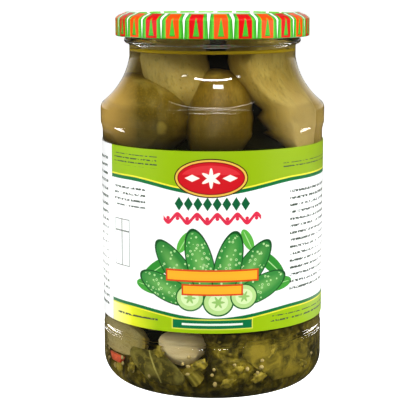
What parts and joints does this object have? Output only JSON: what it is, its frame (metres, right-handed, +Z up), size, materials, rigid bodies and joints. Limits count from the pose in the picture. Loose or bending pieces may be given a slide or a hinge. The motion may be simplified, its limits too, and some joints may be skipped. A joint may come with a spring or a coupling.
{
  "type": "pickle jar",
  "caption": "Shut glass grocery jar of pickled cucumbers in brine, with a patterned twist-off metal lid and a paper wrap label round its middle.",
  "frame": {"origin": "middle of the base, on the surface that the jar stands on", "axes": "+Z up along the jar's axis, -Y towards the front of the label, +X to the right of someone who faces the label"},
  "size_m": [0.099, 0.099, 0.1641],
  "materials": {
    "glass": "clear, polished soda-lime container glass",
    "lid_tinplate": "glossy lacquered print in greens, red, orange and white",
    "label_paper": "satin coated paper, printed",
    "pickle_skin": "wet olive green vegetable skin",
    "garlic": "wet, smooth peeled garlic",
    "red_pepper": "wet pepper skin",
    "dill_stalk": "wet plant stalk",
    "leaf": "wet dark olive leaf"
  },
  "bodies": {
    "root": {"glass_jar": "glass", "lid": "lid_tinplate", "label": "label_paper", "pickles": "pickle_skin", "garlic_clove": "garlic", "pepper_piece": "red_pepper", "dill_stalk": "dill_stalk", "leaf_front": "leaf", "leaf_right": "leaf"}
  },
  "joints": []
}
